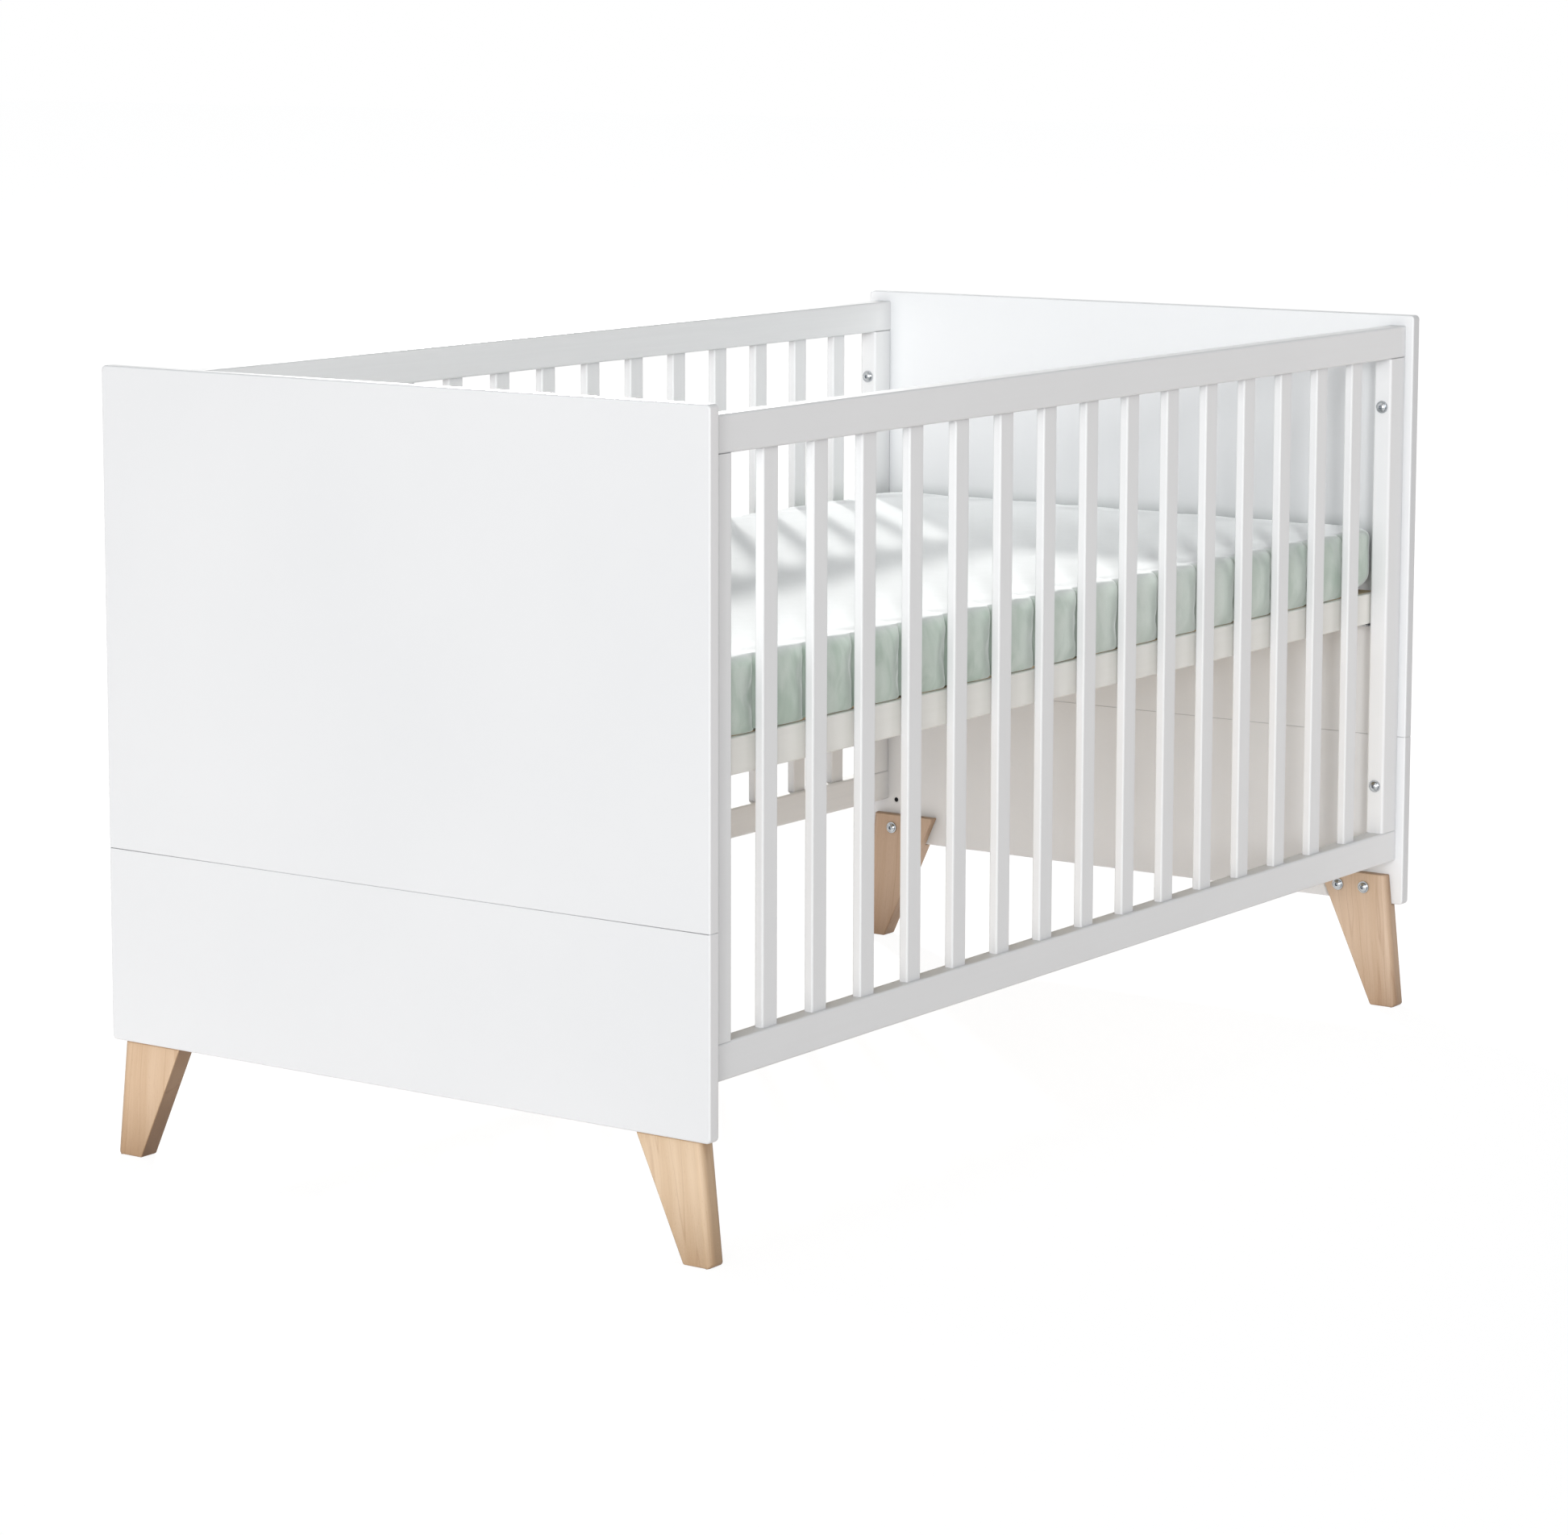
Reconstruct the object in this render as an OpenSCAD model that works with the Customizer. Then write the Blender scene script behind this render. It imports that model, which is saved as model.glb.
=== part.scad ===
// Baby crib: two board ends on splayed legs, two slatted sides, a slatted bed
// base and a mattress. The crib stands on z = 0, centred on x = 0 and y = 0,
// with its length along x. "foot" is the end at -x, "head" the end at +x,
// "front" is the side at -y and "rear" the side at +y.

/* [Overall] */
// Length over both end panels
length = 1420; // [1300:10:1500]
// Width over the end panels
width = 760; // [680:10:820]
// Height from the floor to the top of the end panels
height = 820; // [780:5:880]

/* [End panels] */
// Thickness of the panel boards
panel_t = 15; // [14:1:19]
// Height of the panels' lower edge above the floor
panel_clear = 122; // [105:1:135]
// Height of the lower board of each end
lower_board_h = 201; // [190:1:215]
// Radius of the panels' outer corners
panel_corner_r = 5; // [2:0.5:12]
// Diameter of the dowels in the joint between the boards
dowel_d = 8; // [6:1:9]
// Length of the dowels
dowel_l = 40; // [30:1:50]
// Distance of the outer dowels from the middle of the panel
dowel_spread = 250; // [200:5:290]

/* [Sides] */
// Distance of the sides inside the panels' side edges
side_inset = 10; // [6:1:16]
// Thickness of the rails and stiles
rail_t = 22; // [20:1:24]
// Height of the rails
rail_h = 37; // [34:1:44]
// Drop of the top rails below the top of the panels
top_rail_drop = 12; // [4:1:30]
// Height of the bottom rails above the panels' lower edge
bottom_rail_rise = 53; // [46:1:60]
// Radius along the edges of the rails and stiles
rail_edge_r = 3; // [1:0.5:5]
// Width of the stiles at the ends of the sides
stile_w = 35; // [30:1:45]
// Number of slats in each side
slat_count = 15; // [13:1:16]
// Width of a slat
slat_w = 25; // [20:1:30]
// Thickness of a slat
slat_t = 10; // [8:1:12]
// Radius along the edges of a slat
slat_edge_r = 2; // [1:0.5:3]
// Depth of the slats and tenons in the rails
tenon_l = 12; // [8:1:16]
// Thickness of the stiles' tenons
tenon_t = 10; // [8:1:12]
// Shoulder on each side of a stile's tenon
tenon_shoulder = 6; // [4:1:8]

/* [Legs] */
// Thickness of a leg
leg_t = 24; // [22:1:26]
// Thickness of the lap behind the panel
leg_lap = 12; // [11:1:14]
// Height of the lap above the panel's lower edge
leg_overlap = 36; // [32:1:40]
// Width of a leg at the floor
sole_w = 34; // [28:1:42]
// Slope of a leg's outer edge, sideways per unit of height
leg_outer_slope = 0.107; // [0.08:0.001:0.12]
// Slope of a leg's inner edge, sideways per unit of height
leg_inner_slope = 0.455; // [0.4:0.005:0.5]
// Radius along the two outer edges of a leg
leg_edge_r = 8; // [3:0.5:10]
// Radius at the outer end of the sole
sole_r = 6; // [3:0.5:9]

/* [Bed base] */
// Depth from the top of the side rails to the top of the bed base
base_depth = 313; // [300:1:320]
// Height of the base's side boards
base_h = 36; // [32:1:44]
// Thickness of the base's side boards
base_board_t = 20; // [20:1:24]
// Radius along the outer edges of the side boards
base_edge_r = 2; // [1:0.5:4]
// Number of slats in the base
base_slat_count = 13; // [11:1:14]
// Width of a base slat
base_slat_w = 65; // [55:1:70]
// Thickness of a base slat
base_slat_t = 10; // [8:1:12]
// Length of a base slat's bearing on each side board
base_bearing = 12; // [10:1:14]
// Height of the middle row of base fixings above the joint of the boards
middle_row_rise = 27; // [14:1:50]
// Height of the lowest row of base fixings above the laps of the legs
low_row_rise = 17; // [14:1:24]
// Length of the screws in the base slats
screw_l = 28; // [20:1:32]
// Diameter of the screws' shanks
screw_d = 3.5; // [3:0.5:4]
// Diameter of the screws' countersunk heads
screw_head_d = 7; // [6:0.5:8]

/* [Base brackets] */
// Width of a bracket
bracket_w = 20; // [18:1:22]
// Length of the bracket's arm under the base
bracket_arm = 40; // [25:1:50]
// Height of the bracket's upright
bracket_rise = 24; // [22:1:30]
// Thickness of the bracket's steel
bracket_t = 2; // [1.5:0.5:3]
// Height of the bracket's bolt above its underside
bracket_bolt_rise = 13; // [12:0.5:14]

/* [Mattress] */
// Thickness of the mattress
mattress_h = 78; // [60:1:100]
// Radius of the mattress corners seen from above
mattress_corner_r = 35; // [10:1:60]
// Thickness of the quilted cover
cover_t = 3; // [2:0.5:6]

/* [Fasteners] */
// Diameter of the bolts
bolt_d = 6; // [5:0.5:7]
// Diameter of the bolt heads
bolt_head_d = 10.5; // [9:0.5:12]
// Height of the bolt heads
bolt_head_h = 3.3; // [2.5:0.1:4]
// Height of the straight rim below the dome of a bolt head
bolt_head_rim = 1; // [0.5:0.1:1.5]
// Width across the corners of the hexagon socket
socket_d = 4.6; // [4:0.1:5]
// Depth of the hexagon socket
socket_depth = 2; // [1:0.1:2.2]
// Outer diameter of the washers
washer_d = 14; // [12.5:0.5:16]
// Thickness of the washers
washer_t = 1.2; // [0.8:0.1:2]
// Diameter of the threaded inserts in the panels
insert_d = 10; // [9:0.5:11]
// Length of the threaded inserts
insert_l = 12; // [10:0.5:13]
// Distance of a side bolt from the end of its stile
side_bolt_in = 56; // [40:1:80]
// Depth of the leg bolts below the top of the lap
leg_bolt_drop = 17; // [12:1:20]
// Distance of the outer leg bolt inside the leg's outer edge
leg_bolt_in = 30; // [20:1:34]
// Distance between the two leg bolts
leg_bolt_pitch = 34; // [26:1:36]

/* [Clearances] */
// Play around a bolt in its hole
bolt_play = 0.3; // [0.2:0.1:0.5]
// Gap between the tip of a bolt and the end of its insert
bolt_tip_gap = 1; // [0.5:0.5:2]
// Play around a slat or tenon in its mortise
mortise_play = 0.1; // [0.05:0.05:0.3]
// Gap between the bed base and the side rails
base_side_gap = 2; // [1:0.5:4]
// Gap between the bracket bolts and the end of the base
base_end_gap = 1.2; // [0.8:0.1:3]
// Gap between the mattress and the side rails
mattress_side_gap = 2; // [1:0.5:6]
// Gap between the mattress and the end panels
mattress_end_gap = 5; // [3:0.5:10]
// Gap left under a piece that rests on another and lifts off
rest_gap = 0.3; // [0.2:0.1:0.5]

/* [Hidden] */
$fn = 48;
// Overrun of a cut past the face it opens
cut = 1;
white = "#eef0f1";
rail_white = "#f1f1f0";
ivory = "#e9e7dc";
beech = "#dcb88f";
birch = "#dcc9a6";
steel = "#c3c6c9";
sage = "#b9cdbf";
foam = "#f3eeda";

inner_x = length / 2 - panel_t;
side_y = width / 2 - side_inset - rail_t / 2;
side_inner_y = side_y - rail_t / 2;
top_rail_z = height - top_rail_drop - rail_h;
bottom_rail_z = panel_clear + bottom_rail_rise;
stile_z0 = bottom_rail_z + rail_h;
stile_h = top_rail_z - stile_z0;
slat_gap = (2 * (inner_x - stile_w) - slat_count * slat_w) / (slat_count + 1);
slat_pitch = slat_w + slat_gap;
tenon_w = stile_w - 2 * tenon_shoulder;
seam_z = panel_clear + lower_board_h;

leg_top_z = panel_clear + leg_overlap;
leg_bolt_z = leg_top_z - leg_bolt_drop;
leg_bolt_y = width / 2 - leg_outer_slope * leg_bolt_z - leg_bolt_in;

base_top_z = height - top_rail_drop - base_depth;
base_z = base_top_z - base_h;
base_half_w = side_inner_y - base_side_gap;
base_half_l = inner_x - bracket_t - bolt_head_h - base_end_gap;
base_slat_half_l = base_half_w - base_board_t + base_bearing;
base_slat_pitch = (2 * base_half_l - base_slat_w) / (base_slat_count - 1);
screw_y = base_slat_half_l - base_bearing / 2;
screw_head_h = (screw_head_d - screw_d) / 2;
bracket_y = base_half_w - base_board_t / 2;
bracket_z = base_z - rest_gap - bracket_t;
row_z = bracket_z + bracket_bolt_rise;
base_rows = [row_z, seam_z + middle_row_rise, leg_top_z + low_row_rise];

mattress_z = base_top_z + rest_gap;
mattress_l = 2 * (inner_x - mattress_end_gap);
mattress_w = 2 * (side_inner_y - mattress_side_gap);

// Places of the bolts in one end, as [y, z]; the other side mirrors them
side_bolts_at = [[side_y, stile_z0 + side_bolt_in], [side_y, top_rail_z - side_bolt_in]];
leg_bolts_at = [[leg_bolt_y, leg_bolt_z], [leg_bolt_y - leg_bolt_pitch, leg_bolt_z]];
bracket_bolts_at = [for (z = base_rows) [bracket_y, z]];
panel_bolts_at = concat(side_bolts_at, leg_bolts_at, bracket_bolts_at);

function slat_name(side, i) = str(side, "_slat_", i < 10 ? "0" : "", i);
function slat_x(i) = -inner_x + stile_w + slat_gap + slat_w / 2 + (i - 1) * slat_pitch;

// ---- Shared shapes ----

// Rectangle with round corners, centred
module round_rect(w, h, r) {
    square([w - 2 * r, h], center = true);
    square([w, h - 2 * r], center = true);
    for (sx = [-1, 1], sy = [-1, 1])
        translate([sx * (w / 2 - r), sy * (h / 2 - r)]) circle(r);
}

// Extrudes a [y, z] outline along +x
module along_x(l) {
    rotate([90, 0, 90]) linear_extrude(l) children();
}

module both_ends() {
    for (m = [0, 1]) mirror([m, 0, 0]) children();
}

module both_sides() {
    for (m = [0, 1]) mirror([0, m, 0]) children();
}

// Repeats what is drawn for the foot end, rear side at [y, z] places of both
// ends and both sides; x = 0 lies on the inner face of the end panel
module at_panel_places(places) {
    both_ends() both_sides() for (p = places)
        translate([-inner_x, p[0], p[1]]) children();
}

// Cylinder along +x from x = 0
module rod(d, l) {
    rotate([0, 90, 0]) cylinder(d = d, h = l);
}

// Bolt with a domed socket head; the head's underside is at x = 0 and the
// shank runs along -x
module bolt(l) {
    dome_h = bolt_head_h - bolt_head_rim;
    dome_r = (dome_h * dome_h + bolt_head_d * bolt_head_d / 4) / (2 * dome_h);
    rotate([0, 90, 0]) difference() {
        rotate_extrude() {
            translate([0, -l]) square([bolt_d / 2, l]);
            intersection() {
                square([bolt_head_d / 2, bolt_head_h]);
                translate([0, bolt_head_h - dome_r]) circle(dome_r);
            }
        }
        translate([0, 0, bolt_head_h - socket_depth])
            cylinder(d = socket_d, h = socket_depth + cut, $fn = 6);
    }
}

// ---- End panels ----

// Blind holes for the inserts, drawn for both ends at once
module insert_holes() {
    at_panel_places(panel_bolts_at) translate([-insert_l, 0, 0]) rod(insert_d, insert_l + cut);
}

module dowels() {
    both_ends() for (y = [-dowel_spread, 0, dowel_spread])
        translate([-length / 2 + panel_t / 2, y, seam_z - dowel_l / 2])
            cylinder(d = dowel_d, h = dowel_l);
}

// Outline of a whole end panel as [y, z]
module panel_outline() {
    translate([0, (height + panel_clear) / 2])
        round_rect(width, height - panel_clear, panel_corner_r);
}

// One board of the foot end, between two heights of the whole panel
module end_board(z0, z1) {
    color(white) difference() {
        translate([-length / 2, 0, 0]) along_x(panel_t) intersection() {
            panel_outline();
            translate([-width / 2, z0]) square([width, z1 - z0]);
        }
        insert_holes();
        dowels();
    }
}

module foot_panel_upper() { end_board(seam_z, height); }
module foot_panel_lower() { end_board(panel_clear, seam_z); }
module head_panel_upper() { mirror([1, 0, 0]) foot_panel_upper(); }
module head_panel_lower() { mirror([1, 0, 0]) foot_panel_lower(); }

module panel_dowels() { color(birch) dowels(); }

module threaded_inserts() {
    color(steel) at_panel_places(panel_bolts_at) translate([-insert_l, 0, 0]) difference() {
        rod(insert_d, insert_l);
        translate([-cut, 0, 0]) rod(bolt_d, insert_l + 2 * cut);
    }
}

// ---- Legs ----

// Outline of a leg as [y, z], with a round toe at the outer end of the sole
module leg_outline() {
    toe_y = width / 2;
    heel_y = toe_y - sole_w;
    slant = sqrt(1 + leg_outer_slope * leg_outer_slope);
    toe_centre_y = toe_y - sole_r * (leg_outer_slope + slant);
    translate([toe_centre_y, sole_r]) circle(sole_r);
    polygon([
        [heel_y, 0],
        [toe_centre_y, 0],
        [toe_centre_y + sole_r / slant, sole_r * (1 + leg_outer_slope / slant)],
        [toe_y - leg_outer_slope * leg_top_z, leg_top_z],
        [heel_y - leg_inner_slope * leg_top_z, leg_top_z]
    ]);
}

// Bar that follows the outer edge of a leg and rounds its two long edges; its
// depth clears the inner edge of the leg at the top
module leg_bar() {
    depth = sole_w + leg_inner_slope * leg_top_z + leg_edge_r;
    translate([0, width / 2, 0]) rotate([atan(leg_outer_slope), 0, 0])
        translate([leg_t / 2, -depth / 2, -sole_w]) linear_extrude(leg_top_z + 2 * sole_w)
            round_rect(leg_t, depth, leg_edge_r);
}

// Leg of the foot end, rear side
module leg() {
    leg_x = -inner_x + leg_lap - leg_t;
    color(beech) difference() {
        translate([leg_x, 0, 0]) intersection() {
            along_x(leg_t) leg_outline();
            leg_bar();
        }
        translate([leg_x - cut, 0, panel_clear])
            cube([leg_t - leg_lap + cut, width, leg_overlap + cut]);
        for (p = leg_bolts_at) translate([-inner_x - cut, p[0], p[1]])
            rod(bolt_d + 2 * bolt_play, leg_lap + 2 * cut);
    }
}

module leg_foot_rear() { leg(); }
module leg_foot_front() { mirror([0, 1, 0]) leg(); }
module leg_head_rear() { mirror([1, 0, 0]) leg(); }
module leg_head_front() { mirror([1, 0, 0]) mirror([0, 1, 0]) leg(); }

module leg_bolts() {
    head_x = leg_lap + washer_t;
    color(steel) at_panel_places(leg_bolts_at) translate([head_x, 0, 0])
        bolt(head_x + insert_l - bolt_tip_gap);
}

// ---- Slatted sides, drawn for the rear side ----

module slat_outline() { round_rect(slat_w, slat_t, slat_edge_r); }

// Mortises for all slats and both stiles, from height z0 to z1
module mortises(z0, z1) {
    wide = slat_w + 2 * mortise_play;
    deep = slat_t + 2 * mortise_play;
    translate([0, side_y, z0]) linear_extrude(z1 - z0) {
        for (i = [1:slat_count]) translate([slat_x(i), 0])
            round_rect(wide, deep, slat_edge_r + mortise_play);
        for (s = [-1, 1]) translate([s * (inner_x - stile_w / 2), 0])
            square([tenon_w + 2 * mortise_play, tenon_t + 2 * mortise_play], center = true);
    }
}

module rail(z) {
    translate([-inner_x, side_y, z + rail_h / 2]) along_x(2 * inner_x)
        round_rect(rail_t, rail_h, rail_edge_r);
}

module top_rail() {
    color(rail_white) difference() {
        rail(top_rail_z);
        mortises(top_rail_z - cut, top_rail_z + tenon_l + mortise_play);
    }
}

module bottom_rail() {
    color(rail_white) difference() {
        rail(bottom_rail_z);
        mortises(stile_z0 - tenon_l - mortise_play, stile_z0 + cut);
    }
}

// Stile beside the foot panel
module stile() {
    color(rail_white) difference() {
        translate([-inner_x + stile_w / 2, side_y, 0]) {
            translate([0, 0, stile_z0]) linear_extrude(stile_h)
                round_rect(stile_w, rail_t, rail_edge_r);
            translate([0, 0, stile_z0 - tenon_l]) linear_extrude(stile_h + 2 * tenon_l)
                square([tenon_w, tenon_t], center = true);
        }
        for (p = side_bolts_at) translate([-inner_x - cut, p[0], p[1]])
            rod(bolt_d + 2 * bolt_play, stile_w + 2 * cut);
    }
}

module slat(i) {
    color(rail_white) translate([slat_x(i), side_y, stile_z0 - tenon_l])
        linear_extrude(stile_h + 2 * tenon_l) slat_outline();
}

module rear_top_rail() { top_rail(); }
module rear_bottom_rail() { bottom_rail(); }
module rear_stile_foot() { stile(); }
module rear_stile_head() { mirror([1, 0, 0]) stile(); }
module rear_slat(i) { slat(i); }
module front_top_rail() { mirror([0, 1, 0]) top_rail(); }
module front_bottom_rail() { mirror([0, 1, 0]) bottom_rail(); }
module front_stile_foot() { mirror([0, 1, 0]) stile(); }
module front_stile_head() { mirror([0, 1, 0]) rear_stile_head(); }
module front_slat(i) { mirror([0, 1, 0]) slat(i); }

module side_bolts() {
    head_x = stile_w + washer_t;
    color(steel) at_panel_places(side_bolts_at) translate([head_x, 0, 0])
        bolt(head_x + insert_l - bolt_tip_gap);
}

module washer() {
    difference() {
        rod(washer_d, washer_t);
        translate([-cut, 0, 0]) rod(bolt_d + 2 * bolt_play, washer_t + 2 * cut);
    }
}

module washers() {
    color(steel) {
        at_panel_places(side_bolts_at) translate([stile_w, 0, 0]) washer();
        at_panel_places(leg_bolts_at) translate([leg_lap, 0, 0]) washer();
    }
}

// ---- Bed base ----

module base_brackets() {
    color(steel) both_ends() both_sides() difference() {
        translate([-inner_x, bracket_y - bracket_w / 2, bracket_z]) {
            cube([bracket_arm, bracket_w, bracket_t]);
            cube([bracket_t, bracket_w, bracket_rise]);
        }
        translate([-inner_x - cut, bracket_y, row_z])
            rod(bolt_d + 2 * bolt_play, bracket_t + 2 * cut);
    }
}

module bracket_bolts() {
    color(steel) at_panel_places([[bracket_y, row_z]]) translate([bracket_t, 0, 0])
        bolt(bracket_t + insert_l - bolt_tip_gap);
}

module at_base_slats() {
    for (i = [0:base_slat_count - 1])
        translate([-base_half_l + base_slat_w / 2 + i * base_slat_pitch, 0, 0]) children();
}

// Countersunk screws of all base slats; the wood is cut away by the same shape
module screws() {
    at_base_slats() both_sides() translate([0, screw_y, base_top_z]) {
        translate([0, 0, -screw_l]) cylinder(d = screw_d, h = screw_l);
        translate([0, 0, -screw_head_h])
            cylinder(d1 = screw_d, d2 = screw_head_d, h = screw_head_h);
    }
}

// Rear side board, with a rebate along its top for the slat ends
module base_side() {
    color(ivory) difference() {
        translate([-base_half_l, base_half_w - base_board_t / 2, base_z + base_h / 2])
            along_x(2 * base_half_l) round_rect(base_board_t, base_h, base_edge_r);
        translate([-base_half_l - cut, base_half_w - base_board_t - cut, base_top_z - base_slat_t])
            cube([2 * (base_half_l + cut), base_bearing + cut, base_slat_t + cut]);
        screws();
    }
}

module base_side_rear() { base_side(); }
module base_side_front() { mirror([0, 1, 0]) base_side(); }

module base_slats() {
    color(birch) difference() {
        at_base_slats() translate([-base_slat_w / 2, -base_slat_half_l, base_top_z - base_slat_t])
            cube([base_slat_w, 2 * base_slat_half_l, base_slat_t]);
        screws();
    }
}

module base_screws() { color(steel) screws(); }

// ---- Mattress ----

module mattress_block(skin) {
    translate([0, 0, mattress_z + skin]) linear_extrude(mattress_h - 2 * skin)
        round_rect(mattress_l - 2 * skin, mattress_w - 2 * skin, mattress_corner_r - skin);
}

module mattress_cover() {
    color(sage) difference() {
        mattress_block(0);
        mattress_block(cover_t);
    }
}

module mattress_core() { color(foam) mattress_block(cover_t); }

foot_panel_upper();
foot_panel_lower();
head_panel_upper();
head_panel_lower();
panel_dowels();
threaded_inserts();
leg_foot_front();
leg_foot_rear();
leg_head_front();
leg_head_rear();
leg_bolts();
front_top_rail();
front_bottom_rail();
rear_top_rail();
rear_bottom_rail();
front_stile_foot();
front_stile_head();
rear_stile_foot();
rear_stile_head();
side_bolts();
washers();
for (i = [1:slat_count]) {
    front_slat(i);
    rear_slat(i);
}
base_brackets();
bracket_bolts();
base_side_front();
base_side_rear();
base_slats();
base_screws();
mattress_cover();
mattress_core();
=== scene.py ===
import math

import bmesh
import bpy
import numpy as np
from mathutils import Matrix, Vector, noise
from mathutils.kdtree import KDTree


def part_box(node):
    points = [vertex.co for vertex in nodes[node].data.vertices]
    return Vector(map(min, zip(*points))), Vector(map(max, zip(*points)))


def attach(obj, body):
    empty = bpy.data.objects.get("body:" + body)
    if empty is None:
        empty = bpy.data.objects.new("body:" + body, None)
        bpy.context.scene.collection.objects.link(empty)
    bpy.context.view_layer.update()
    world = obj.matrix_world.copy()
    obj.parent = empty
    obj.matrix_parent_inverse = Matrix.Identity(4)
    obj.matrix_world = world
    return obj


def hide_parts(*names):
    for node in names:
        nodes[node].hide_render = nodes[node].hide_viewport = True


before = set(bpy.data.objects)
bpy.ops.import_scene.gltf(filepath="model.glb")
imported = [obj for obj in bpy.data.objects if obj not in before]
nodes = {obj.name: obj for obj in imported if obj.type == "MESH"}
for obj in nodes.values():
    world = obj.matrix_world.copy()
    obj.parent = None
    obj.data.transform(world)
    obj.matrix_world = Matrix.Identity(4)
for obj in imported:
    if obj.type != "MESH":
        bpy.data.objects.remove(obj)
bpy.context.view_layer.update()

# Lengths are in metres. The foot end is at -X, the head end at +X, the front at -Y and the rear at +Y.
# Colours are linear red, green and blue.


# ---- Node trees ----

class Tree:
    """The node tree of a material, world or lamp, with short calls to add nodes and join them."""

    def __init__(self, owner, shader):
        owner.use_nodes = True
        self.owner = owner
        self.nodes = owner.node_tree.nodes
        self.links = owner.node_tree.links
        self.shader = self.nodes[shader]

    def set(self, **values):
        """Values of the shader's sockets, with _ for each space in a name."""
        for key, value in values.items():
            self.put(self.shader.inputs[key.replace("_", " ")], value)

    def put(self, socket, value):
        """Gives an input socket a value, or joins it to an output socket."""
        if isinstance(value, bpy.types.NodeSocket):
            self.links.new(value, socket)
        elif isinstance(value, tuple) and socket.type == "RGBA":
            socket.default_value = (*value[:3], 1.0)
        else:
            socket.default_value = value

    def add(self, kind, inputs, **properties):
        """A new node of a kind, with values or output sockets for its inputs."""
        node = self.nodes.new("ShaderNode" + kind)
        for key, value in properties.items():
            setattr(node, key, value)
        for key, value in inputs.items():
            self.put(node.inputs[key], value)
        return node

    def place(self):
        """Position in the part's frame."""
        return self.add("TexCoord", {}).outputs["Object"]

    def normal(self):
        """Surface normal in the part's frame."""
        return self.add("TexCoord", {}).outputs["Normal"]

    def axes(self, vector):
        """The vector's three components."""
        return self.add("SeparateXYZ", {"Vector": vector}).outputs

    def scaled(self, vector, scale, rotation=(0.0, 0.0, 0.0)):
        """The vector, stretched along each axis and turned."""
        return self.add("Mapping", {"Vector": vector, "Scale": scale, "Rotation": rotation}).outputs[0]

    def noise(self, vector, scale=1.0, detail=2.0, roughness=0.5, distortion=0.0):
        """Smooth noise around 0.5, with scale in features for each unit of the vector."""
        return self.add("TexNoise", {"Vector": vector, "Scale": scale, "Detail": detail,
                                     "Roughness": roughness, "Distortion": distortion}).outputs[0]

    def math(self, operation, *values):
        """Result of an operation on one or two numbers."""
        node = self.add("Math", {}, operation=operation)
        for socket, value in zip(node.inputs, values):
            self.put(socket, value)
        return node.outputs[0]

    def range(self, value, low, high, new_low=0.0, new_high=1.0):
        """The value, carried over from one range to another and held inside it."""
        return self.add("MapRange", {"Value": value, "From Min": low, "From Max": high,
                                     "To Min": new_low, "To Max": new_high}).outputs[0]

    def mix(self, factor, first, second, blend="MIX"):
        """The first colour where factor is 0, the second or their blend where it is 1."""
        node = self.add("Mix", {}, data_type="RGBA", blend_type=blend)
        self.put(node.inputs[0], factor)
        self.put(node.inputs[6], first)
        self.put(node.inputs[7], second)
        return node.outputs[2]

    def tint(self, factor, colour, by):
        """The colour, multiplied by another where factor is 1."""
        return self.mix(factor, colour, self.mix(1.0, colour, by, "MULTIPLY"))

    def contour(self, value, level, width):
        """1 on the line where value meets level, falling to 0 within width of it."""
        off = self.math("ABSOLUTE", self.math("SUBTRACT", value, level))
        return self.range(off, 0.0, width, 1.0, 0.0)

    def attribute(self, name):
        """A value that the mesh carries at each vertex."""
        return self.add("Attribute", {}, attribute_name=name).outputs["Fac"]

    def openness(self, distance, samples):
        """1 in the open, less in a corner or hollow, felt over a distance from whatever stands there."""
        return self.add("AmbientOcclusion", {"Distance": distance}, samples=samples).outputs["AO"]

    def contact_shade(self, distance, least):
        """Painted shade: 1 in the open, falling to least in a corner."""
        return self.range(self.openness(distance, samples=6), 0.5, 0.95, least, 1.0)

    def seen(self):
        """1 for a ray from the camera, from a reflection or through glass."""
        path = self.add("LightPath", {}).outputs
        either = self.math("MAXIMUM", path["Is Camera Ray"], path["Is Glossy Ray"])
        return self.math("MAXIMUM", either, path["Is Transmission Ray"])

    def bump(self, height, strength, distance, normal=None):
        """Feeds a bump to the shader, on top of an earlier one if given."""
        inputs = {"Height": height, "Strength": strength, "Distance": distance}
        if normal is not None:
            inputs["Normal"] = normal
        out = self.add("Bump", inputs).outputs[0]
        self.put(self.shader.inputs["Normal"], out)
        return out

    def show(self, output, shader):
        """Makes a shader what the material or world shows."""
        self.put(self.nodes[output].inputs["Surface"], shader)


def surface(name, **fixed):
    """Tree of a new material, with fixed values for its shader."""
    tree = Tree(bpy.data.materials.new(name), "Principled BSDF")
    tree.set(**fixed)
    return tree


# ---- Materials ----

LEG_SPLAY = 0.107  # slope of a leg's outer edge
THREAD_PITCH = 0.001


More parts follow.
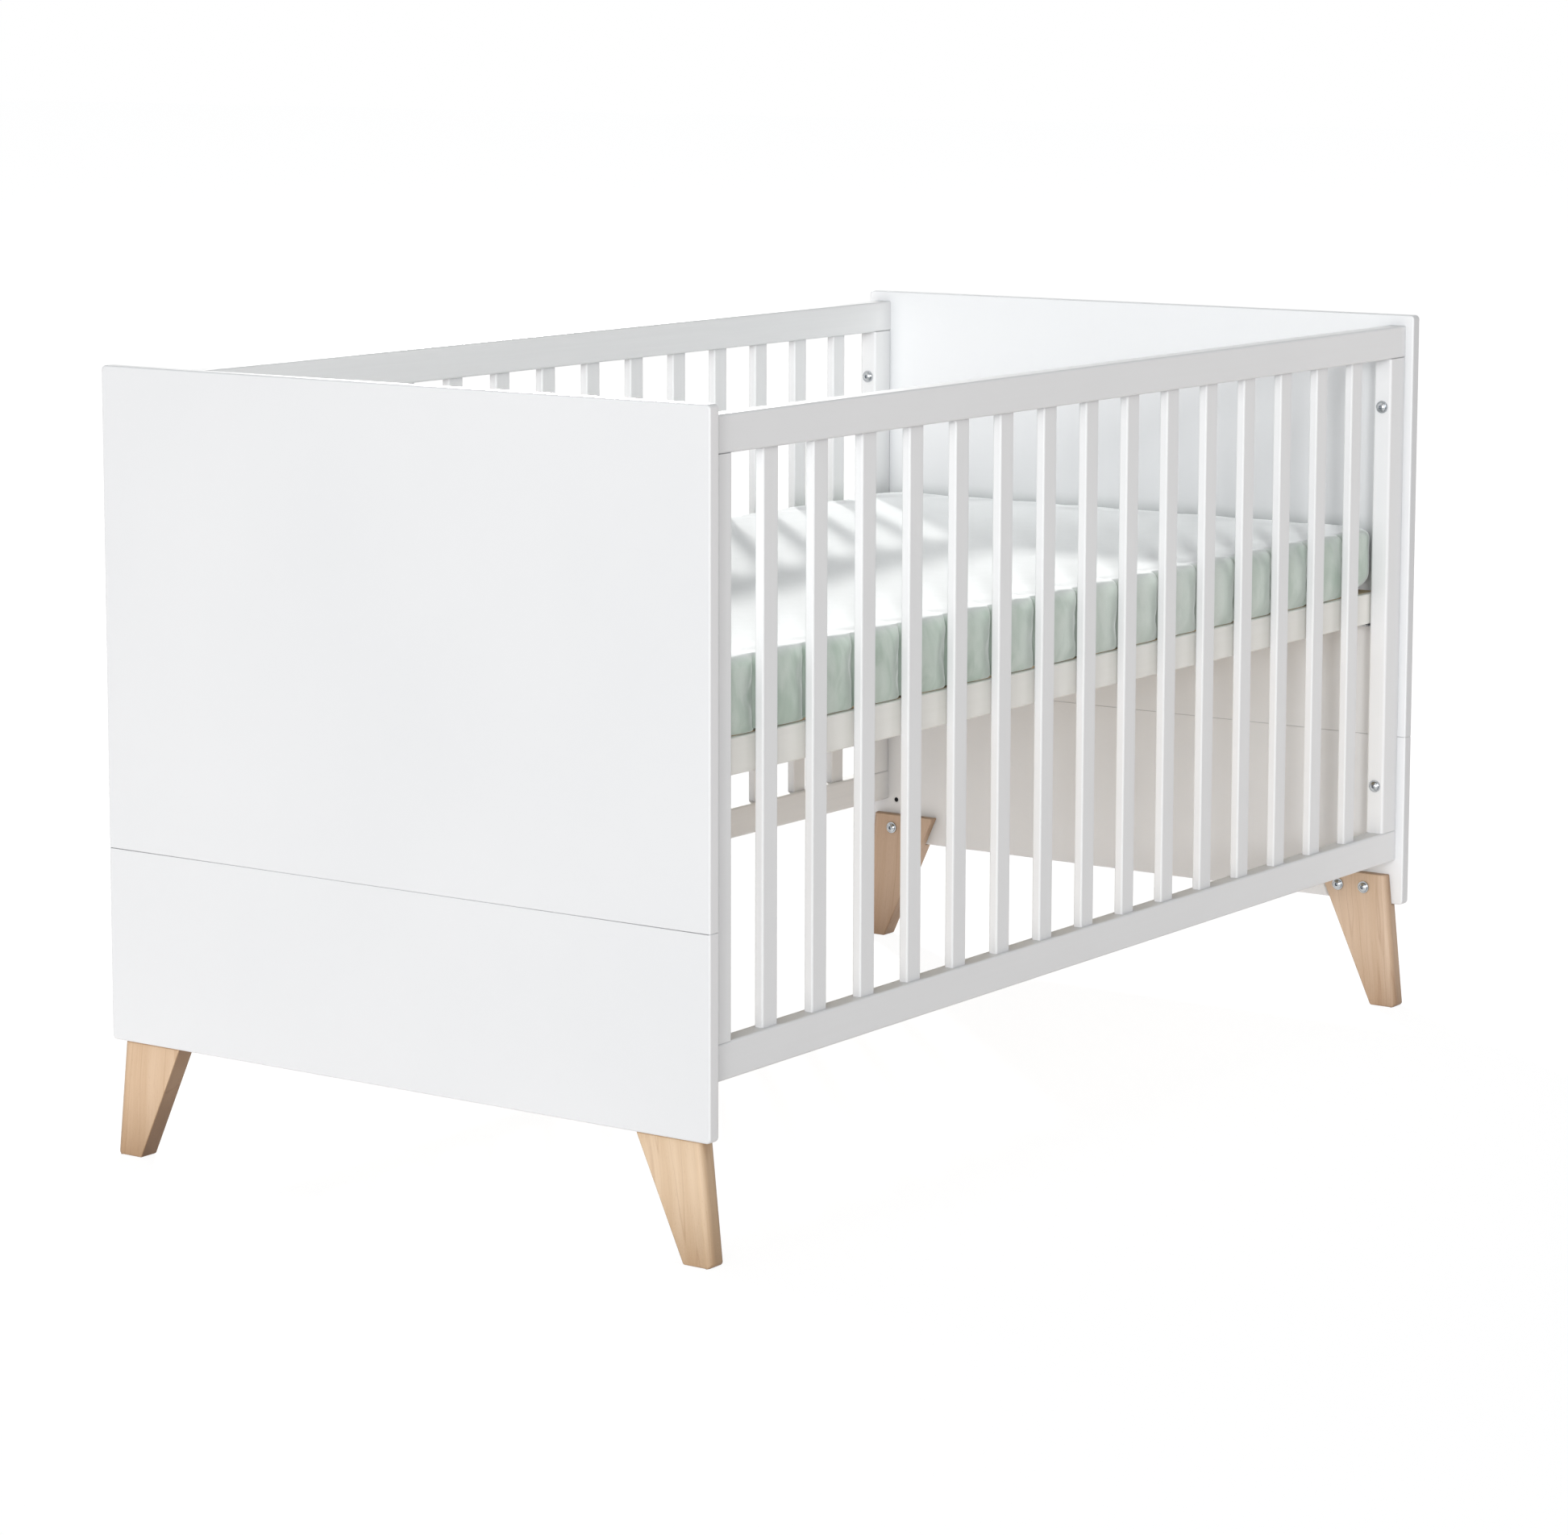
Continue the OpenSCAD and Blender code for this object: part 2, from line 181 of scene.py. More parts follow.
def lacquered_board():
    """Board of the ends: smooth white lacquer with a faint orange peel. Painted light makes the inner face
    whitest and the foot end's edges lighter; painted shade darkens the head end's edges and greys the
    corners."""
    dull, bright = (0.775, 0.788, 0.797), (0.797, 0.808, 0.815)
    # painted light: the inner face is made whiter than the outer one
    inside = (0.885, 0.894, 0.900)
    # painted light on the foot end's edges and painted shade on the head end's edges
    lit_foot_edge, shaded_head_edge = (0.835, 0.835, 0.838), (0.690, 0.698, 0.705)
    # painted shade in corners
    corner_shade = (0.560, 0.575, 0.590)
    tree = surface("lacquered_board", Specular_IOR_Level=0.42)
    place = tree.place()
    part, normal = tree.axes(place), tree.axes(tree.normal())
    cloud = tree.noise(place, 3.0, detail=3.0)
    white = tree.mix(tree.range(cloud, 0.3, 0.7), dull, bright)
    outward = tree.math("MULTIPLY", normal["X"], tree.math("SIGN", part["X"]))
    # painted light on the inner face
    white = tree.mix(tree.range(outward, -0.4, -0.9), white, inside)
    # painted light and shade on the edges facing front and rear
    edge = tree.mix(tree.range(part["X"], -0.1, 0.1), lit_foot_edge, shaded_head_edge)
    white = tree.mix(tree.range(tree.math("ABSOLUTE", normal["Y"]), 0.5, 0.95), white, edge)
    # painted shade greys the lacquer in corners
    tree.set(Base_Color=tree.mix(tree.contact_shade(0.020, least=0.55), corner_shade, white),
             Roughness=tree.range(tree.noise(place, 26.0, detail=4.0), 0.3, 0.7, 0.34, 0.46))
    tree.bump(tree.noise(place, 520.0, roughness=0.45), strength=0.05, distance=0.0003)
    return tree.owner


def painted_wood(name, along):
    """White paint on solid wood, with the grain just felt through it along one axis. Painted light makes the
    inner face a little whiter, and painted shade greys the corners and joints."""
    dull, bright = (0.845, 0.853, 0.856), (0.863, 0.871, 0.874)
    # the first colour is painted light on the inner face, the second is the grain's
    inside, in_grain = (0.915, 0.920, 0.915), (0.844, 0.847, 0.846)
    # painted shade in corners and joints
    corner_shade = (0.570, 0.575, 0.590)
    long_grain, cross_grain = 5.0, 260.0
    tree = surface(name, Specular_IOR_Level=0.32)
    place = tree.place()
    squeeze = tuple(long_grain if axis == along else cross_grain for axis in "xyz")
    grain = tree.noise(tree.scaled(place, squeeze), detail=3.0, roughness=0.55)
    cloud = tree.noise(place, 7.0)
    white = tree.mix(tree.range(cloud, 0.3, 0.7), dull, bright)
    outward = tree.math("MULTIPLY", tree.axes(tree.normal())["Y"], tree.math("SIGN", tree.axes(place)["Y"]))
    # painted light on the inner face
    white = tree.mix(tree.range(outward, -0.4, -0.9), white, inside)
    # painted shade greys the paint in corners and joints
    white = tree.mix(tree.contact_shade(0.030, least=0.25), corner_shade, white)
    tree.set(Base_Color=tree.mix(tree.range(grain, 0.25, 0.75, 0.0, 0.4), white, in_grain),
             Roughness=tree.range(grain, 0.3, 0.7, 0.42, 0.54))
    coarse = tree.bump(grain, strength=0.04, distance=0.0002)
    tree.bump(tree.noise(place, 700.0), strength=0.03, distance=0.0002, normal=coarse)
    return tree.owner


def beech():
    """Oiled beech: straight fibres along the leg's outer edge, soft bands, a few thin wavy growth lines and
    short dark flecks. Painted shade darkens the sides facing front and rear, the inner faces of the foot end,
    the legs at the head end and at the rear, and the wood close under the board."""
    dark_band, light_band = (0.690, 0.508, 0.335), (0.765, 0.590, 0.415)
    growth_line, fleck = (0.450, 0.270, 0.150), (0.420, 0.235, 0.130)
    light_fibre, dark_fibre = (0.830, 0.665, 0.495), (0.520, 0.345, 0.210)
    # painted shade for the sides facing front and rear, and for the foot end's inner faces
    side_shade_tint, foot_inner_shade_tint = (0.66, 0.60, 0.55), (0.50, 0.45, 0.41)
    # painted shade on the legs at the head end and at the rear
    head_shade_tint, rear_shade_tint = (0.90, 0.90, 0.96), (0.92, 0.88, 0.86)
    # painted shade close under the board
    shade_tint = (0.62, 0.56, 0.50)
    wander = 0.012     # how far the fibres wander sideways
    sides_apart = 7.3  # keeps the grain of the front legs from repeating at the rear
    tree = surface("beech_wood", Specular_IOR_Level=0.35)
    place = tree.place()
    part = tree.axes(place)
    across = tree.math("ADD", tree.math("ABSOLUTE", part["Y"]), tree.math("MULTIPLY", part["Z"], LEG_SPLAY))
    sway = tree.math("SUBTRACT", tree.noise(tree.scaled(place, (6.0, 9.0, 9.0))), 0.5)
    across = tree.math("ADD", across, tree.math("MULTIPLY", sway, wander))
    deep = tree.math("ADD", part["X"], tree.math("MULTIPLY", tree.math("SIGN", part["Y"]), sides_apart))
    grain = tree.add("CombineXYZ", {"X": deep, "Y": across, "Z": part["Z"]}).outputs[0]
    bands = tree.noise(tree.scaled(grain, (40.0, 60.0, 1.6)))
    rings = tree.noise(tree.scaled(grain, (24.0, 34.0, 1.9)))
    fibres = tree.noise(tree.scaled(grain, (1100.0, 1100.0, 16.0)), detail=3.0, roughness=0.6)
    flecks = tree.noise(tree.scaled(grain, (1500.0, 1500.0, 130.0)), detail=1.0)
    wood = tree.mix(tree.range(bands, 0.34, 0.66), dark_band, light_band)
    for level in (0.40, 0.55):
        line = tree.math("MULTIPLY", tree.contour(rings, level, 0.012), 0.34)
        wood = tree.mix(line, wood, growth_line)
    wood = tree.mix(tree.range(fibres, 0.44, 0.74, 0.0, 0.24), wood, light_fibre)
    wood = tree.mix(tree.range(fibres, 0.48, 0.28, 0.0, 0.14), wood, dark_fibre)
    wood = tree.mix(tree.range(flecks, 0.66, 0.80, 0.0, 0.30), wood, fleck)
    facing = tree.axes(tree.normal())["Y"]
    inner = tree.range(tree.math("MULTIPLY", facing, tree.math("SIGN", part["Y"])), -0.45, -0.95)
    foot = tree.range(part["X"], 0.1, -0.1)
    head = tree.range(part["X"], -0.1, 0.1)
    rear = tree.range(part["Y"], -0.1, 0.1)
    # painted shade on the sides facing front and rear, left off the head end's inner faces
    side_shade = tree.range(tree.math("ABSOLUTE", facing), 0.45, 0.95, 0.0, 0.62)
    side_shade = tree.math("MULTIPLY", side_shade, tree.math("SUBTRACT", 1.0, tree.math("MULTIPLY", inner, head)))
    wood = tree.tint(side_shade, wood, side_shade_tint)
    # painted shade on the inner faces of the foot end's legs
    wood = tree.tint(tree.math("MULTIPLY", inner, foot), wood, foot_inner_shade_tint)
    # painted shade on the legs at the head end and at the rear
    wood = tree.tint(head, wood, head_shade_tint)
    wood = tree.tint(rear, wood, rear_shade_tint)
    # painted shade close under the board and in corners
    wood = tree.mix(tree.contact_shade(0.090, least=0.0), tree.mix(1.0, wood, shade_tint, "MULTIPLY"), wood)
    tree.set(Base_Color=wood, Roughness=tree.range(fibres, 0.3, 0.7, 0.44, 0.58))
    relief = tree.math("ADD", fibres, tree.math("MULTIPLY", flecks, 0.5))
    tree.bump(relief, strength=0.14, distance=0.0003)
    return tree.owner


def ivory_board():
    """Ivory foil on the bed base's side boards."""
    darker, lighter = (0.885, 0.873, 0.822), (0.925, 0.915, 0.872)
    tree = surface("ivory_board", Specular_IOR_Level=0.35)
    place = tree.place()
    grain = tree.noise(tree.scaled(place, (4.0, 120.0, 120.0)), detail=4.0, roughness=0.55, distortion=0.3)
    cloud = tree.noise(place, 14.0)
    tone = tree.range(tree.math("ADD", grain, cloud), 0.7, 1.3)
    tree.set(Base_Color=tree.mix(tone, darker, lighter), Roughness=tree.range(grain, 0.3, 0.7, 0.42, 0.55))
    tree.bump(grain, strength=0.10, distance=0.0003)
    return tree.owner


def bare_birch():
    """Unpainted slats of the bed base, grained across the crib."""
    light_ring, dark_ring = (0.780, 0.650, 0.460), (0.680, 0.520, 0.330)
    light_fibre = (0.850, 0.735, 0.550)
    tree = surface("birch_wood", Specular_IOR_Level=0.30)
    place = tree.place()
    rings = tree.noise(tree.scaled(place, (80.0, 1.6, 60.0)), detail=3.0, distortion=0.2)
    fibres = tree.noise(tree.scaled(place, (800.0, 18.0, 800.0)), detail=3.0, roughness=0.6)
    wood = tree.mix(tree.range(rings, 0.35, 0.68), light_ring, dark_ring)
    tree.set(Base_Color=tree.mix(tree.range(fibres, 0.45, 0.75, 0.0, 0.4), wood, light_fibre),
             Roughness=tree.range(fibres, 0.3, 0.7, 0.55, 0.70))
    tree.bump(fibres, strength=0.25, distance=0.0005)
    return tree.owner


def zinc_steel(name, dark, light, roughness):
    """Zinc-plated steel with fine scratches and cloudy tone, and painted shade, dull grey, inside its
    recesses.
    """
    # painted shade in the recesses, felt over this depth
    recess_shade, depth = (0.250, 0.270, 0.300), 0.0045
    tree = surface(name, Metallic=1.0)
    place = tree.place()
    cloud = tree.noise(place, 240.0, detail=3.0)
    scratch = tree.noise(tree.scaled(place, (300.0, 2400.0, 900.0)), detail=3.0, roughness=0.6)
    # painted shade in the recesses
    in_open = tree.range(tree.openness(depth, samples=8), 0.35, 0.85)
    plate = tree.mix(tree.range(cloud, 0.3, 0.7), dark, light)
    tree.set(Base_Color=tree.mix(in_open, recess_shade, plate),
             Roughness=tree.range(scratch, 0.3, 0.7, roughness - 0.07, roughness + 0.09))
    tree.bump(scratch, strength=0.10, distance=0.0001)
    return tree.owner


def insert_steel(inner_face):
    """Threaded inserts: lacquered over with the panel on their rim, with painted shade, near black, on the
    thread inside the bore.
    """
    lacquer = (0.786, 0.798, 0.806)
    # painted shade: the thread's near-black colours stand in for shade in the bore
    groove_shade, ridge_shade = (0.030, 0.032, 0.034), (0.090, 0.094, 0.098)
    tree = surface("insert_steel", Specular_IOR_Level=0.42)
    along = tree.axes(tree.place())["X"]
    depth = tree.math("SUBTRACT", tree.math("ABSOLUTE", along), inner_face)
    thread = tree.math("SINE", tree.math("MULTIPLY", along, 2 * math.pi / THREAD_PITCH))
    # inside the bore the thread gets its painted shade
    inside = tree.range(depth, 0.0002, 0.0008)
    metal = tree.mix(tree.range(thread, -1.0, 1.0), groove_shade, ridge_shade)
    tree.set(Base_Color=tree.mix(inside, lacquer, metal), Roughness=tree.range(inside, 0.0, 1.0, 0.40, 0.55))
    return tree.owner


def velvet():
    """Short-pile cover: sage on the border with lighter and darker strokes and a paler band of painted light,
    nearly white on top as a paler top fabric with painted sheen on it, and painted shade beside the seams."""
    darker_sage, lighter_sage = (0.545, 0.640, 0.560), (0.650, 0.735, 0.665)
    light_stroke, dark_stroke = (0.740, 0.805, 0.745), (0.440, 0.550, 0.460)
    # the first colour is painted light on a band of the border
    lit_sage, pile_shade = (0.790, 0.830, 0.790), (0.330, 0.410, 0.350)
    # nearly white top: a paler top fabric with painted sheen on it
    darker_sheen_top, lighter_sheen_top = (0.838, 0.852, 0.858), (0.872, 0.882, 0.894)
    # painted shade beside the seams
    seam_shade = (0.160, 0.215, 0.175)
    lit_middle, lit_reach = 0.22, 0.45  # where along the crib the painted light on the border is strongest, and how far around it
    tree = surface("velvet_cover", Sheen_Weight=1.0, Sheen_Roughness=0.35, Sheen_Tint=(0.98, 1.0, 0.99),
                   Specular_IOR_Level=0.15, Roughness=0.92)
    place = tree.place()
    pile = tree.noise(place, 900.0, detail=3.0, roughness=0.6)
    brushed = tree.noise(tree.scaled(place, (55.0, 55.0, 16.0)), detail=3.0, distortion=0.8)
    cloud = tree.noise(place, 8.0)
    tone = tree.range(tree.math("ADD", brushed, tree.math("MULTIPLY", cloud, 0.5)), 0.55, 0.95)
    slanted = tree.scaled(place, (34.0, 34.0, 20.0), rotation=(0.0, 0.6, 0.0))
    strokes = tree.noise(slanted, distortion=0.6)
    border = tree.mix(tone, darker_sage, lighter_sage)
    border = tree.mix(tree.range(strokes, 0.42, 0.66, 0.0, 0.55), border, light_stroke)
    border = tree.mix(tree.range(strokes, 0.50, 0.30, 0.0, 0.50), border, dark_stroke)
    # painted light: a band of the border along the crib is made paler
    lit_band = tree.contour(tree.axes(place)["X"], lit_middle, lit_reach)
    border = tree.mix(tree.math("MULTIPLY", lit_band, 0.55), border, lit_sage)
    # paler top fabric with painted sheen on it
    top = tree.mix(tone, darker_sheen_top, lighter_sheen_top)
    colour = tree.mix(tree.attribute("top"), border, top)
    colour = tree.mix(tree.range(pile, 0.3, 0.7, 0.0, 0.12), colour, pile_shade)
    # painted shade beside the seams
    colour = tree.mix(tree.math("MULTIPLY", tree.attribute("pinch"), 0.42), colour, seam_shade)
    tree.set(Base_Color=colour)
    nap = tree.bump(brushed, strength=0.12, distance=0.0015)
    tree.bump(pile, strength=0.30, distance=0.0005, normal=nap)
    return tree.owner


# ---- Stage: floor, light, camera ----

WHITE = (1.0, 1.0, 1.0)
AMBIENT = 0.315      # strength of the even light
FLOOR_HALF = 30.0    # half the floor's side
FLOOR_DROP = 0.0003  # keeps the floor clear of the legs
FLOOR_GLOW = 1.16    # the floor's own brightness in the camera's view
LIT_SHARE = 0.22     # share of the real light in that view, which shows the crib's shadow

CAMERA_PLACE = (-4.1730, -2.8628, 1.2079)
CAMERA_TURN = math.radians(54.307)  # from +Y towards +X
CAMERA_TILT = math.radians(7.737)   # below the horizon
CAMERA_LENS = 106.727               # mm
CAMERA_SENSOR = 36.0                # mm
CAMERA_SHIFT = (0.05, -0.10)        # share of the picture's longer side


def make_floor():
    """Pale floor that the camera and reflections see nearly white, with the crib's shadow on it."""
    mesh = bpy.data.meshes.new("floor")
    corners = ((-1, -1), (1, -1), (1, 1), (-1, 1))
    mesh.from_pydata([(x * FLOOR_HALF, y * FLOOR_HALF, -FLOOR_DROP) for x, y in corners], [], [(0, 1, 2, 3)])
    floor = bpy.data.objects.new("floor", mesh)
    bpy.context.collection.objects.link(floor)
    darker, lighter = (0.92, 0.865, 0.84), (0.94, 0.885, 0.86)
    tree = surface("floor", Roughness=0.9, Specular_IOR_Level=0.1)
    tree.set(Base_Color=tree.mix(tree.noise(tree.place(), 2.0, detail=3.0), darker, lighter))
    glow = tree.add("Emission", {"Color": WHITE, "Strength": FLOOR_GLOW}).outputs[0]
    lit = tree.add("BsdfDiffuse", {"Color": (0.9, 0.9, 0.9)}).outputs[0]
    shown = tree.add("MixShader", {0: LIT_SHARE, 1: glow, 2: lit}).outputs[0]
    both = tree.add("MixShader", {0: tree.seen(), 1: tree.shader.outputs[0], 2: shown}).outputs[0]
    tree.show("Material Output", both)
    mesh.materials.append(tree.owner)


def make_world():
    """Even white light, shown as plain white where a ray from the camera or a reflection meets it."""
    world = bpy.data.worlds.new("studio")
    bpy.context.scene.world = world
    tree = Tree(world, "Background")
    tree.set(Color=(0.97, 0.985, 1.0), Strength=AMBIENT)
    white = tree.add("Background", {"Color": WHITE, "Strength": 1.0}).outputs[0]
    both = tree.add("MixShader", {0: tree.seen(), 1: tree.shader.outputs[0], 2: white}).outputs[0]
    tree.show("World Output", both)


def make_lamp(name, kind, energy, place, target, colour, **settings):
    """Lamp at a place, turned to a target and unseen by the camera."""
    lamp = bpy.data.lights.new(name, kind)
    lamp.energy = energy
    lamp.color = colour
    for key, value in settings.items():
        setattr(lamp, key, value)
    obj = bpy.data.objects.new(name, lamp)
    bpy.context.collection.objects.link(obj)
    obj.location = place
    obj.rotation_euler = (Vector(target) - Vector(place)).to_track_quat("-Z", "Y").to_euler()
    obj.visible_camera = False
    return lamp


def keep_strength(lamp):
    """Makes a lamp as strong far away as near."""
    tree = Tree(lamp, "Emission")
    tree.set(Strength=tree.add("LightFalloff", {"Strength": 1.0}).outputs["Constant"])


def make_lights():
    """Soft light from the camera's side, and a lamp behind the crib that throws the shadows of the rear
    slats on the mattress."""
    crib = (0.0, 0.0, 0.4)
    cool, daylight, warm = (0.98, 0.99, 1.0), (0.985, 0.99, 1.0), (1.0, 0.99, 0.975)
    make_lamp("window", "AREA", energy=28.0, place=(-4.0, -2.6, 1.1), target=(0.0, 0.0, 0.45), colour=cool,
              shape="RECTANGLE", size=3.0, size_y=2.0)
    make_lamp("room", "SUN", energy=0.90, place=(-4.0, -2.9, 1.2), target=crib, colour=daylight,
              angle=math.radians(10))
    make_lamp("left", "SUN", energy=0.69, place=(-4.0, -1.5, 1.4), target=crib, colour=daylight,
              angle=math.radians(14))
    make_lamp("end_fill", "SUN", energy=0.36, place=(-4.0, 0.2, 0.9), target=crib, colour=cool,
              angle=math.radians(30))
    low = make_lamp("low_lamp", "POINT", energy=30.0, place=(2.543, 2.32, 1.82), target=crib, colour=warm,
                    shadow_soft_size=0.10)
    keep_strength(low)


def make_camera():
    """The photograph's view."""
    camera = bpy.data.cameras.new("camera")
    camera.lens = CAMERA_LENS
    camera.sensor_width = CAMERA_SENSOR
    camera.shift_x, camera.shift_y = CAMERA_SHIFT
    camera.clip_end = 100.0
    obj = bpy.data.objects.new("camera", camera)
    bpy.context.collection.objects.link(obj)
    obj.location = CAMERA_PLACE
    obj.rotation_euler = (math.pi / 2 - CAMERA_TILT, 0.0, -CAMERA_TURN)
    bpy.context.scene.camera = obj


# ---- CAD nodes: finishes and eased edges ----

WELD = 1e-6                # vertices closer than this are one
FLAT = math.radians(0.3)   # faces that meet at less than this are one
SHARP = math.radians(50)   # edges sharper than this are eased
CREASE = math.radians(40)  # edges sharper than this stay creases in the shading
PANEL_EASE = 0.0020        # width of the easing on the boards of the ends,
LEG_EASE = 0.0018          # on the legs,
BASE_EASE = 0.0010         # on the bed base's side boards,
JOINT_EASE = 0.0010        # and where the two boards of an end meet
TOE = 0.006                # radius of a leg's outer corner on the floor
FASTENER_ROOM = 0.003      # edges this close to a fastener stay sharp


def finish_node(name, material):
    """Gives a CAD node's own mesh its material."""
    obj = nodes[name]
    obj.data.materials.clear()
    obj.data.materials.append(material)


def fastener_tree():
    """Search tree of the fasteners' surfaces."""
    names = [n for n in nodes if n.endswith(("bolts", "inserts", "dowels", "screws", "washers"))]
    points = [v.co for n in names for v in nodes[n].data.vertices]
    tree = KDTree(len(points))
    for i, point in enumerate(points):
        tree.insert(point, i)
    tree.balance()
    return tree


def bevel(solid, edges, width, segments):
    """Rounds the edges of a solid."""
    bmesh.ops.bevel(solid, geom=edges, offset=width, offset_type="OFFSET", segments=segments, profile=0.5,
                    affect="EDGES", clamp_overlap=False)


def floor_edges(solid):
    """Edges of a leg's outer corner on the floor."""
    outer = max(abs(v.co.y) for v in solid.verts if v.co.z < WELD)
    return [e for e in solid.edges if all(v.co.z < WELD and outer - abs(v.co.y) < WELD for v in e.verts)]


def ease_edges(name, body, material, width, fasteners, segments=3, toe=0.0, joint=None):
    """Shows a CAD node as the same solid with its sharp edges eased, except close to a fastener. The outer
    corner that stands on the floor is rounded to the radius toe. Edges at the height joint are only just
    eased."""

    def at_joint(edge):
        return joint is not None and all(abs(v.co.z - joint) < WELD for v in edge.verts)

    def is_sharp(edge):
        return (edge.is_manifold and edge.calc_face_angle() > SHARP
                and min(fasteners.find(v.co)[2] for v in edge.verts) > FASTENER_ROOM)

    solid = bmesh.new()
    solid.from_mesh(nodes[name].data)
    bmesh.ops.remove_doubles(solid, verts=solid.verts, dist=WELD)
    bmesh.ops.dissolve_limit(solid, angle_limit=FLAT, verts=solid.verts, edges=solid.edges)
    if toe:
        bevel(solid, floor_edges(solid), toe, segments=4)
    bevel(solid, [e for e in solid.edges if is_sharp(e) and not at_joint(e)], width, segments)
    bevel(solid, [e for e in solid.edges if is_sharp(e) and at_joint(e)], JOINT_EASE, segments)
    lo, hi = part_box(name)
    for vert in solid.verts:
        vert.co = [min(max(c, low), high) for c, low, high in zip(vert.co, lo, hi)]
    mesh = bpy.data.meshes.new(name + "_eased")
    solid.to_mesh(mesh)
    solid.free()
    mesh.polygons.foreach_set("use_smooth", [True] * len(mesh.polygons))
    mesh.set_sharp_from_angle(angle=CREASE)
    mesh.materials.append(material)
    obj = bpy.data.objects.new(name + "_eased", mesh)
    bpy.context.collection.objects.link(obj)
    obj.modifiers.new("even_shading", "WEIGHTED_NORMAL").keep_sharp = True
    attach(obj, body)
    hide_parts(name)


def finish_nodes():
    """Finishes on every CAD node but the mattress, and eased edges on the boards and legs."""
    inner_face, _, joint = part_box("foot_panel_lower")[1]
    board, wood, ivory, birch = lacquered_board(), beech(), ivory_board(), bare_birch()
    along_x, along_z = painted_wood("painted_rail", "x"), painted_wood("painted_upright", "z")
    bolt_steel = zinc_steel("bolt_steel", dark=(0.40, 0.42, 0.44), light=(0.58, 0.60, 0.61), roughness=0.22)
    sheet_steel = zinc_steel("sheet_steel", dark=(0.50, 0.51, 0.52), light=(0.66, 0.67, 0.68), roughness=0.36)
    fasteners = fastener_tree()
    for end in ("foot", "head"):
        for level in ("upper", "lower"):
            ease_edges(f"{end}_panel_{level}", "frame", board, PANEL_EASE, fasteners,
                       joint=joint)
        for side in ("front", "rear"):
            ease_edges(f"leg_{end}_{side}", "frame", wood, LEG_EASE, fasteners, toe=TOE)
            finish_node(f"{side}_stile_{end}", along_z)
    for side in ("front", "rear"):
        for level in ("top", "bottom"):
            finish_node(f"{side}_{level}_rail", along_x)
        ease_edges(f"base_side_{side}", "bed_base", ivory, BASE_EASE, fasteners, segments=2)
    for name in nodes:
        if "_slat_" in name:
            finish_node(name, along_z)
    finish_node("base_slats", birch)
    finish_node("panel_dowels", birch)
    finish_node("base_brackets", sheet_steel)
    for name in ("side_bolts", "leg_bolts", "bracket_bolts", "washers", "base_screws"):
        finish_node(name, bolt_steel)
    finish_node("threaded_inserts", insert_steel(abs(inner_face)))


# ---- Mattress ----

FILL = 0.0040          # how far the sewn cover starts inside its filled size
CORNER = 0.030         # corner radius seen from above
INNER_CORNER = 0.012   # the same in the innermost ring
CORNER_ROUND = 0.024   # rounding of the underside at the corners
CORNER_FADE = 0.014    # how fast that rounding fades along the sides
TOP_ROUND = 0.011      # rounding along the top edge
BOTTOM_ROUND = 0.003   # rounding along the bottom edge
TOP_ROOM = 0.003       # left above the cover before it is filled
BOTTOM_ROOM = 0.0004   # left under it, and
FILLED_ROOM = 0.0003   # what is left of that once it is filled
CROWN = 0.0025         # rise of the filled top in its middle

SEAMS_LONG, SEAMS_SHORT = 7, 3  # seams on either side of the middle one, along and across the crib
SEAM_SHIFT = 0.0128    # the middle seam's place along the crib
SEAM_STRETCH = 1.009   # seam spacing over slat spacing
SEWN = 0.0025          # half width of the strip that a seam holds
SEWN_BORDER = 0.3      # on rings that are this much of the border
PINCH = 0.0056         # depth of the pinched seams in the border
PINCH_WIDTH = 0.0038   # how fast a pinch fades beside its seam
PINCH_OVER = 0.003     # how far a pinch runs on over the top edge
SHADE_WIDTH = 0.012    # how fast the painted shade beside a seam fades
SHADE_SHARE = 0.35     # share of that painted shade, next to the one at the pinch itself
TOP_DIP = 0.0010       # how far the border's top edge draws down at a seam
BOTTOM_LIFT = 0.0022   # how far its bottom edge draws up there
DRAW_WIDTH = 0.005     # how fast both fade beside the seam
EDGE_FADE = 0.012      # how fast both fade towards the middle

PROUD = (0.0015, 0.0030)  # how far the lobes may stand out of the plain solid at the ends and sides
SWELL = 0.0075         # furthest that a point may move as the cover fills
STEADY = 0.20          # lowest share of the height, where the cover keeps to its board
FLAT_TOP = 0.75        # share of the filling's rise that the foam core under the top holds back
FOLD = 0.0015          # height of the soft folds in the border
SIDE = 0.9             # points further out than this share of the half size have lobes and folds
LONG_SIDE = 0.32       # points further from the middle line than this are on a long side
FILL_FRAMES = 20       # length of the simulation
PRESSURE = 4.0         # inside the cover while it fills

SEAM_STEPS = (0.0, 0.0016, 0.004, 0.008, 0.014, 0.0215, 0.030)  # distances of the points beside a seam
PLAIN_STEP = 0.009     # spacing of points between the last seam and the corner
CORNER_STEPS = 9       # steps round a corner seen from above
EDGE_STEPS = 5         # steps over the top or bottom edge
BORDER_STEPS = 9       # steps down the border
SPINE = 0.014          # half width of the strip left in the middle of the top and underside
TOP_INSETS = (0.29, 0.25, 0.21, 0.17, 0.135, 0.105, 0.085, 0.068, 0.054, 0.043, 0.034, 0.026, 0.019)
UNDER_INSETS = (0.018, 0.03, 0.05, 0.08, 0.13, 0.20, 0.27)
HELD = ((0.085, 1.0), (0.05, 0.55), (0.03, 0.15))  # further in than this, the cover is held this firmly
LYING = (0.002, 0.012)  # lower than this over the base and further in than this, it lies on its board


